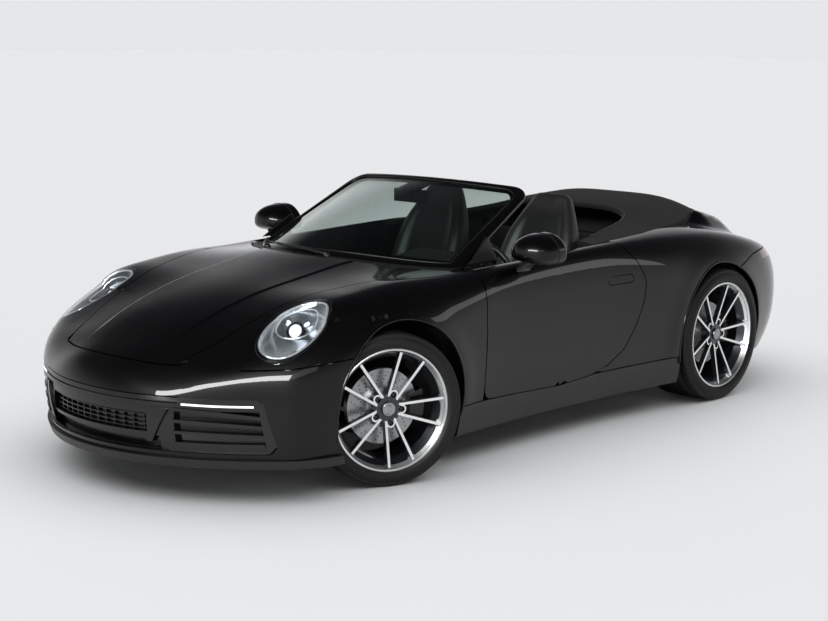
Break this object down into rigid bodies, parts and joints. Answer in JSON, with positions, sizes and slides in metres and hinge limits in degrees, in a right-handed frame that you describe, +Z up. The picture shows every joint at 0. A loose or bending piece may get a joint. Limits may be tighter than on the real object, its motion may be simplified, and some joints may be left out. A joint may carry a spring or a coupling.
{
  "type": "two-door sports convertible car",
  "caption": "Open rear-engined sports car with hinged doors and lids, steered front wheels and a closed cover over the folded roof.",
  "frame": {"origin": "on the ground under the middle of the car's box", "axes": "+X to the car's left side, +Y to the rear, +Z up"},
  "size_m": [2.0256, 4.503, 1.205],
  "materials": {
    "body_paint": "gloss",
    "gloss_black_plastic": "gloss",
    "satin_black_plastic": "satin",
    "lamp_glass": "clear",
    "lamp_bowl": "gloss",
    "tail_lamp_red": "gloss",
    "window_glass": "clear",
    "cabin_plastic": "matte",
    "cabin_leather": "satin",
    "roof_fabric": "matte",
    "underbody_metal": "matte",
    "engine_cast": "cast",
    "exhaust_steel": "satin",
    "rim_metal": "machined",
    "tyre_rubber": "matte",
    "disc_iron": "machined",
    "knuckle_metal": "satin"
  },
  "bodies": {
    "body": {"cowl": "satin_black_plastic", "dashboard": "cabin_plastic", "engine_block": "engine_cast", "exhaust": "exhaust_steel", "floor_tub": "underbody_metal", "front_beam": "underbody_metal", "front_bumper": "body_paint", "front_grille": "satin_black_plastic", "front_lip": "satin_black_plastic", "front_seats": "cabin_leather", "headlamp_lenses": "lamp_glass", "headlamp_units": "lamp_bowl", "inside_mirror": "cabin_plastic", "quarter_left": "body_paint", "quarter_right": "body_paint", "rear_beam": "underbody_metal", "rear_bumper": "body_paint", "rear_diffuser": "satin_black_plastic", "rear_seats": "cabin_leather", "rear_spoiler": "body_paint", "sill_skirts": "satin_black_plastic", "tail_lamps": "tail_lamp_red", "tonneau_cover": "roof_fabric", "windscreen": "window_glass", "windscreen_frame": "gloss_black_plastic", "wing_left": "body_paint", "wing_right": "body_paint", "wipers": "satin_black_plastic"},
    "bonnet": {"bonnet": "body_paint"},
    "engine_lid": {"engine_lid": "body_paint"},
    "door_left": {"door_left": "body_paint", "mirror_left": "gloss_black_plastic"},
    "door_right": {"door_right": "body_paint", "mirror_right": "gloss_black_plastic"},
    "steering_wheel": {"steering_wheel": "cabin_leather"},
    "knuckle_left": {"knuckle_front_left": "knuckle_metal"},
    "knuckle_right": {"knuckle_front_right": "knuckle_metal"},
    "wheel_fl": {"rim_front_left": "rim_metal", "tyre_front_left": "tyre_rubber", "disc_front_left": "disc_iron"},
    "wheel_fr": {"rim_front_right": "rim_metal", "tyre_front_right": "tyre_rubber", "disc_front_right": "disc_iron"},
    "wheel_rl": {"rim_rear_left": "rim_metal", "tyre_rear_left": "tyre_rubber", "disc_rear_left": "disc_iron"},
    "wheel_rr": {"rim_rear_right": "rim_metal", "tyre_rear_right": "tyre_rubber", "disc_rear_right": "disc_iron"}
  },
  "joints": [
    {"name": "bonnet_hinge", "type": "hinge", "parent": "body", "child": "bonnet", "pos_m": [0, -0.64, 0.835], "axis": [-1, 0, 0], "range_deg": [0, 60]},
    {"name": "engine_lid_hinge", "type": "hinge", "parent": "body", "child": "engine_lid", "pos_m": [0, 1.56, 0.935], "axis": [1, 0, 0], "range_deg": [0, 60]},
    {"name": "door_left_hinge", "type": "hinge", "parent": "body", "child": "door_left", "pos_m": [0.846, -0.64, 0.5], "axis": [0, 0, -1], "range_deg": [0, 65]},
    {"name": "door_right_hinge", "type": "hinge", "parent": "body", "child": "door_right", "pos_m": [-0.846, -0.64, 0.5], "axis": [0, 0, 1], "range_deg": [0, 65]},
    {"name": "steering_wheel_turn", "type": "hinge", "parent": "body", "child": "steering_wheel", "pos_m": [0.37, -0.09, 0.752], "axis": [0, 0.9272, 0.3746], "range_deg": [-200, 790]},
    {"name": "steer_left", "type": "hinge", "parent": "body", "child": "knuckle_left", "pos_m": [0.7345, -1.2565, 0.334], "axis": [0, 0, 1], "range_deg": [-14, 56]},
    {"name": "steer_right", "type": "hinge", "parent": "body", "child": "knuckle_right", "pos_m": [-0.7345, -1.2565, 0.334], "axis": [0, 0, 1], "range_deg": [-14, 56]},
    {"name": "spin_fl", "type": "hinge", "parent": "knuckle_left", "child": "wheel_fl", "pos_m": [0.79055, -1.2779, 0.334], "axis": [0.9342, -0.3567, 0], "continuous": true},
    {"name": "spin_fr", "type": "hinge", "parent": "knuckle_right", "child": "wheel_fr", "pos_m": [-0.79055, -1.2351, 0.334], "axis": [0.9342, -0.3567, 0], "continuous": true},
    {"name": "spin_rl", "type": "hinge", "parent": "body", "child": "wheel_rl", "pos_m": [0.7785, 1.1935, 0.351], "axis": [1, 0, 0], "continuous": true},
    {"name": "spin_rr", "type": "hinge", "parent": "body", "child": "wheel_rr", "pos_m": [-0.7785, 1.1935, 0.351], "axis": [1, 0, 0], "continuous": true}
  ],
  "couplings": [
    {"joint": "steer_right", "follows": "steer_left", "ratio": 1},
    {"joint": "steering_wheel_turn", "follows": "steer_left", "ratio": 14}
  ]
}
